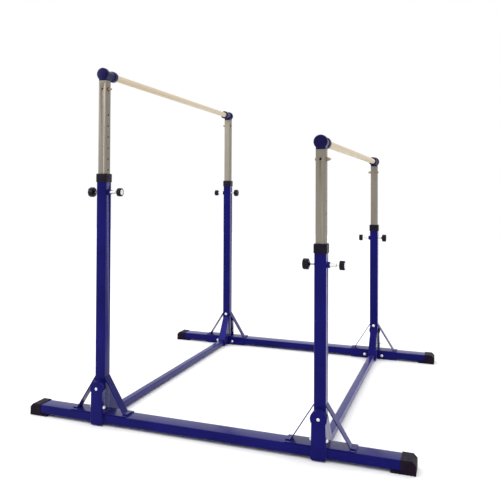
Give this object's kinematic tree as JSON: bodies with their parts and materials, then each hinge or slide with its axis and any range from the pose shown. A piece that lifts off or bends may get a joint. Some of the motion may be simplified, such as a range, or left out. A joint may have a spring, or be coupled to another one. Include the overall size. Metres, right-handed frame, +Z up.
{
  "type": "uneven parallel bars",
  "caption": "Gymnastics apparatus: two wooden bars at different heights on telescoping square steel posts, standing on two steel base beams.",
  "frame": {"origin": "on the floor in the middle of the footprint", "axes": "+Z up; the bars run along Y, the base beams along X, with the high bar at -X and the front beam at -Y"},
  "size_m": [2.15, 2.14, 2.0005],
  "materials": {
    "blue_powder_coat": "semi-gloss powder coat",
    "satin_steel": "satin zinc-plated tube",
    "dark_blue_cast_iron": "semi-gloss enamel over cast iron",
    "black_rubber": "moulded, matt",
    "black_plastic": "moulded, satin",
    "zinc_plate": "bright zinc plate",
    "pale_wood": "sanded and lacquered"
  },
  "bodies": {
    "base": {"front_beam": "blue_powder_coat", "front_left_end_cap": "black_rubber", "front_right_end_cap": "black_rubber", "back_beam": "blue_powder_coat", "back_left_end_cap": "black_rubber", "back_right_end_cap": "black_rubber"},
    "left_frame": {"front_left_saddle": "blue_powder_coat", "front_left_outer_post": "blue_powder_coat", "front_left_guide_collar": "black_plastic", "front_left_brace_a": "blue_powder_coat", "front_left_brace_b": "blue_powder_coat", "front_left_outer_bracket": "blue_powder_coat", "front_left_inner_bracket": "blue_powder_coat", "front_left_pin_sleeve": "zinc_plate", "back_left_saddle": "blue_powder_coat", "back_left_outer_post": "blue_powder_coat", "back_left_guide_collar": "black_plastic", "back_left_brace_a": "blue_powder_coat", "back_left_brace_b": "blue_powder_coat", "back_left_outer_bracket": "blue_powder_coat", "back_left_inner_bracket": "blue_powder_coat", "back_left_pin_sleeve": "zinc_plate", "left_cross_tube": "blue_powder_coat"},
    "right_frame": {"front_right_saddle": "blue_powder_coat", "front_right_outer_post": "blue_powder_coat", "front_right_guide_collar": "black_plastic", "front_right_brace_a": "blue_powder_coat", "front_right_brace_b": "blue_powder_coat", "front_right_outer_bracket": "blue_powder_coat", "front_right_inner_bracket": "blue_powder_coat", "front_right_pin_sleeve": "zinc_plate", "back_right_saddle": "blue_powder_coat", "back_right_outer_post": "blue_powder_coat", "back_right_guide_collar": "black_plastic", "back_right_brace_a": "blue_powder_coat", "back_right_brace_b": "blue_powder_coat", "back_right_outer_bracket": "blue_powder_coat", "back_right_inner_bracket": "blue_powder_coat", "back_right_pin_sleeve": "zinc_plate", "right_cross_tube": "blue_powder_coat"},
    "left_rail": {"front_left_inner_post": "satin_steel", "front_left_bar_fitting": "dark_blue_cast_iron", "back_left_inner_post": "satin_steel", "back_left_bar_fitting": "dark_blue_cast_iron", "left_bar": "pale_wood"},
    "right_rail": {"front_right_inner_post": "satin_steel", "front_right_bar_fitting": "dark_blue_cast_iron", "back_right_inner_post": "satin_steel", "back_right_bar_fitting": "dark_blue_cast_iron", "right_bar": "pale_wood"},
    "front_left_pin": {"front_left_pull_pin": "black_plastic"},
    "front_left_screw": {"front_left_clamp_screw": "black_plastic"},
    "front_right_pin": {"front_right_pull_pin": "black_plastic"},
    "front_right_screw": {"front_right_clamp_screw": "black_plastic"},
    "back_left_pin": {"back_left_pull_pin": "black_plastic"},
    "back_left_screw": {"back_left_clamp_screw": "black_plastic"},
    "back_right_pin": {"back_right_pull_pin": "black_plastic"},
    "back_right_screw": {"back_right_clamp_screw": "black_plastic"}
  },
  "joints": [
    {"name": "left_frame_slide", "type": "slide", "parent": "base", "child": "left_frame", "axis": [1, 0, 0], "range_m": [-0.15, 0.2]},
    {"name": "right_frame_slide", "type": "slide", "parent": "base", "child": "right_frame", "axis": [1, 0, 0], "range_m": [-0.2, 0.15]},
    {"name": "left_bar_height", "type": "slide", "parent": "left_frame", "child": "left_rail", "axis": [0, 0, 1], "range_m": [-0.4375, 0.25]},
    {"name": "right_bar_height", "type": "slide", "parent": "right_frame", "child": "right_rail", "axis": [0, 0, 1], "range_m": [-0.375, 0.3125]},
    {"name": "front_left_pin_pull", "type": "slide", "parent": "left_frame", "child": "front_left_pin", "axis": [1, 0, 0], "range_m": [0, 0.01], "stiffness_N_per_m": 900, "springref_m": -0.006},
    {"name": "front_left_screw_turn", "type": "hinge", "parent": "left_frame", "child": "front_left_screw", "pos_m": [-0.623, -1, 1.2965], "axis": [-1, 0, 0], "range_deg": [0, 540]},
    {"name": "front_right_pin_pull", "type": "slide", "parent": "right_frame", "child": "front_right_pin", "axis": [1, 0, 0], "range_m": [0, 0.01], "stiffness_N_per_m": 900, "springref_m": -0.006},
    {"name": "front_right_screw_turn", "type": "hinge", "parent": "right_frame", "child": "front_right_screw", "pos_m": [0.623, -1, 0.944], "axis": [-1, 0, 0], "range_deg": [0, 540]},
    {"name": "back_left_pin_pull", "type": "slide", "parent": "left_frame", "child": "back_left_pin", "axis": [-1, 0, 0], "range_m": [0, 0.01], "stiffness_N_per_m": 900, "springref_m": -0.006},
    {"name": "back_left_screw_turn", "type": "hinge", "parent": "left_frame", "child": "back_left_screw", "pos_m": [-0.623, 1, 1.2965], "axis": [1, 0, 0], "range_deg": [0, 540]},
    {"name": "back_right_pin_pull", "type": "slide", "parent": "right_frame", "child": "back_right_pin", "axis": [-1, 0, 0], "range_m": [0, 0.01], "stiffness_N_per_m": 900, "springref_m": -0.006},
    {"name": "back_right_screw_turn", "type": "hinge", "parent": "right_frame", "child": "back_right_screw", "pos_m": [0.623, 1, 0.944], "axis": [1, 0, 0], "range_deg": [0, 540]}
  ]
}
